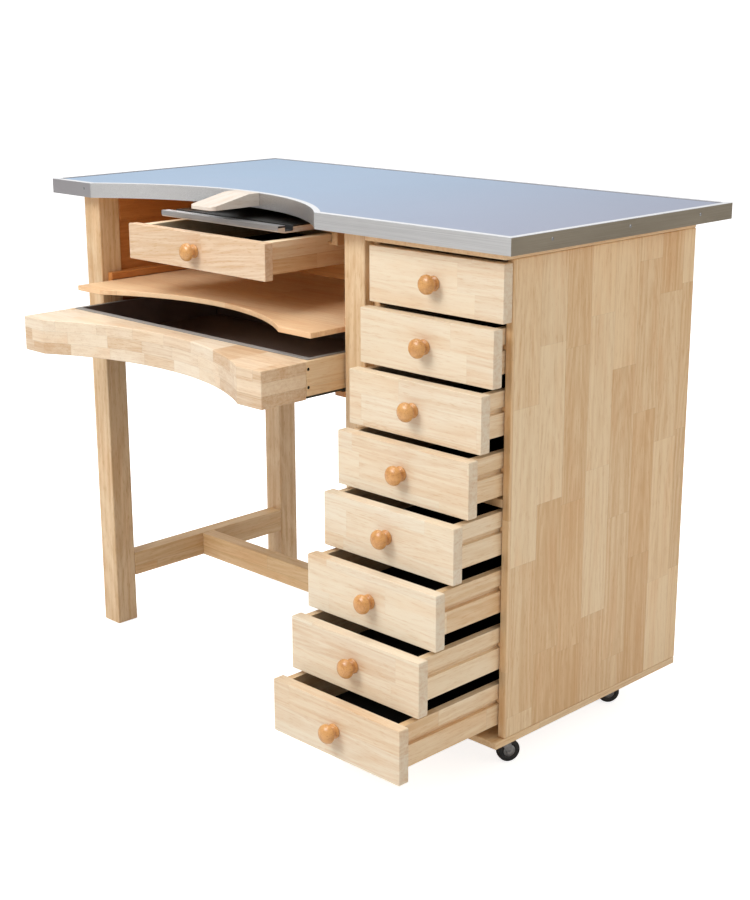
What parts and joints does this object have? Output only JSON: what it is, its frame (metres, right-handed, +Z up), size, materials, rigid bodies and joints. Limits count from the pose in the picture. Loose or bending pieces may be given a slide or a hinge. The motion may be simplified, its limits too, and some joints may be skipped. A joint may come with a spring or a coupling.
{
  "type": "jewelers bench",
  "caption": "Wooden jeweller's workbench: curved cut-out with a bench pin, sliding board, drawer, shelf and catch tray under it, and a drawer cabinet on casters.",
  "frame": {"origin": "on the floor, below the middle of the bench's bounding box as it stands at rest", "axes": "+X to the right of a person who sits at the bench, +Y to the back, +Z up"},
  "size_m": [1.22, 0.845, 0.95],
  "materials": {
    "wood": "satin lacquer",
    "turned_wood": "gloss lacquer",
    "top_sheet": "matt sheet",
    "edge_band": "brushed",
    "black_board": "matt black face",
    "pan": "dark enamel",
    "caster_steel": "zinc plated",
    "caster_tyre": "matt"
  },
  "bodies": {
    "bench": {"top_board": "wood", "top_sheet": "top_sheet", "edge_band": "edge_band", "bench_pin": "wood", "leg_front_left": "wood", "leg_rear_left": "wood", "side_stretcher": "wood", "cross_stretcher": "wood", "bay_left_side": "wood", "bay_right_side": "wood", "bay_back_board": "wood", "upper_runner_left": "wood", "upper_runner_right": "wood", "post_front": "wood", "post_rear": "wood", "cabinet_right_panel": "wood", "cabinet_left_panel": "wood", "cabinet_back_panel": "wood", "cabinet_base": "wood", "cabinet_top": "wood"},
    "drawer_1": {"drawer_1_front": "wood", "drawer_1_box": "wood", "drawer_1_knob": "turned_wood"},
    "drawer_2": {"drawer_2_front": "wood", "drawer_2_box": "wood", "drawer_2_knob": "turned_wood"},
    "drawer_3": {"drawer_3_front": "wood", "drawer_3_box": "wood", "drawer_3_knob": "turned_wood"},
    "drawer_4": {"drawer_4_front": "wood", "drawer_4_box": "wood", "drawer_4_knob": "turned_wood"},
    "drawer_5": {"drawer_5_front": "wood", "drawer_5_box": "wood", "drawer_5_knob": "turned_wood"},
    "drawer_6": {"drawer_6_front": "wood", "drawer_6_box": "wood", "drawer_6_knob": "turned_wood"},
    "drawer_7": {"drawer_7_front": "wood", "drawer_7_box": "wood", "drawer_7_knob": "turned_wood"},
    "drawer_8": {"drawer_8_front": "wood", "drawer_8_box": "wood", "drawer_8_knob": "turned_wood"},
    "upper_drawer": {"upper_drawer_front": "wood", "upper_drawer_box": "wood", "upper_drawer_knob": "turned_wood"},
    "slide_out_board": {"slide_board": "black_board"},
    "arm_rest": {"arm_rest_shelf": "wood"},
    "catch_tray": {"tray_front": "wood", "tray_frame": "wood", "tray_pan": "pan"},
    "caster_front_right_swivel": {"caster_front_right_fork": "caster_steel"},
    "caster_front_right_roll": {"caster_front_right_wheel": "caster_tyre"},
    "caster_rear_right_swivel": {"caster_rear_right_fork": "caster_steel"},
    "caster_rear_right_roll": {"caster_rear_right_wheel": "caster_tyre"},
    "caster_front_left_swivel": {"caster_front_left_fork": "caster_steel"},
    "caster_front_left_roll": {"caster_front_left_wheel": "caster_tyre"},
    "caster_rear_left_swivel": {"caster_rear_left_fork": "caster_steel"},
    "caster_rear_left_roll": {"caster_rear_left_wheel": "caster_tyre"}
  },
  "joints": [
    {"name": "drawer_1_slide", "type": "slide", "parent": "bench", "child": "drawer_1", "axis": [0, -1, 0], "range_m": [0, 0.35]},
    {"name": "drawer_2_slide", "type": "slide", "parent": "bench", "child": "drawer_2", "axis": [0, -1, 0], "range_m": [-0.022, 0.328]},
    {"name": "drawer_3_slide", "type": "slide", "parent": "bench", "child": "drawer_3", "axis": [0, -1, 0], "range_m": [-0.049, 0.301]},
    {"name": "drawer_4_slide", "type": "slide", "parent": "bench", "child": "drawer_4", "axis": [0, -1, 0], "range_m": [-0.077, 0.273]},
    {"name": "drawer_5_slide", "type": "slide", "parent": "bench", "child": "drawer_5", "axis": [0, -1, 0], "range_m": [-0.111, 0.239]},
    {"name": "drawer_6_slide", "type": "slide", "parent": "bench", "child": "drawer_6", "axis": [0, -1, 0], "range_m": [-0.151, 0.199]},
    {"name": "drawer_7_slide", "type": "slide", "parent": "bench", "child": "drawer_7", "axis": [0, -1, 0], "range_m": [-0.19, 0.16]},
    {"name": "drawer_8_slide", "type": "slide", "parent": "bench", "child": "drawer_8", "axis": [0, -1, 0], "range_m": [-0.234, 0.116]},
    {"name": "upper_drawer_slide", "type": "slide", "parent": "bench", "child": "upper_drawer", "axis": [0, -1, 0], "range_m": [-0.153, 0.127]},
    {"name": "slide_out_board_slide", "type": "slide", "parent": "bench", "child": "slide_out_board", "axis": [0, -1, 0], "range_m": [-0.08, 0.18]},
    {"name": "arm_rest_slide", "type": "slide", "parent": "bench", "child": "arm_rest", "axis": [0, -1, 0], "range_m": [-0.051, 0.2]},
    {"name": "catch_tray_slide", "type": "slide", "parent": "bench", "child": "catch_tray", "axis": [0, -1, 0], "range_m": [-0.17, 0.13]},
    {"name": "caster_front_right_turn", "type": "hinge", "parent": "bench", "child": "caster_front_right_swivel", "pos_m": [0.512, -0.0825, 0.05], "axis": [0, 0, 1], "continuous": true},
    {"name": "caster_front_right_spin", "type": "hinge", "parent": "caster_front_right_swivel", "child": "caster_front_right_roll", "pos_m": [0.5213, -0.06256, 0.021], "axis": [0.9063, -0.4226, 0], "continuous": true},
    {"name": "caster_rear_right_turn", "type": "hinge", "parent": "bench", "child": "caster_rear_right_swivel", "pos_m": [0.512, 0.2785, 0.05], "axis": [0, 0, 1], "continuous": true},
    {"name": "caster_rear_right_spin", "type": "hinge", "parent": "caster_rear_right_swivel", "child": "caster_rear_right_roll", "pos_m": [0.49757, 0.2619, 0.021], "axis": [-0.7547, 0.6561, 0], "continuous": true},
    {"name": "caster_front_left_turn", "type": "hinge", "parent": "bench", "child": "caster_front_left_swivel", "pos_m": [0.2767, -0.0825, 0.05], "axis": [0, 0, 1], "continuous": true},
    {"name": "caster_front_left_spin", "type": "hinge", "parent": "caster_front_left_swivel", "child": "caster_front_left_roll", "pos_m": [0.2877, -0.06345, 0.021], "axis": [0.866, -0.5, 0], "continuous": true},
    {"name": "caster_rear_left_turn", "type": "hinge", "parent": "bench", "child": "caster_rear_left_swivel", "pos_m": [0.2767, 0.2785, 0.05], "axis": [0, 0, 1], "continuous": true},
    {"name": "caster_rear_left_spin", "type": "hinge", "parent": "caster_rear_left_swivel", "child": "caster_rear_left_roll", "pos_m": [0.28052, 0.30017, 0.021], "axis": [0.9848, -0.1736, 0], "continuous": true}
  ]
}
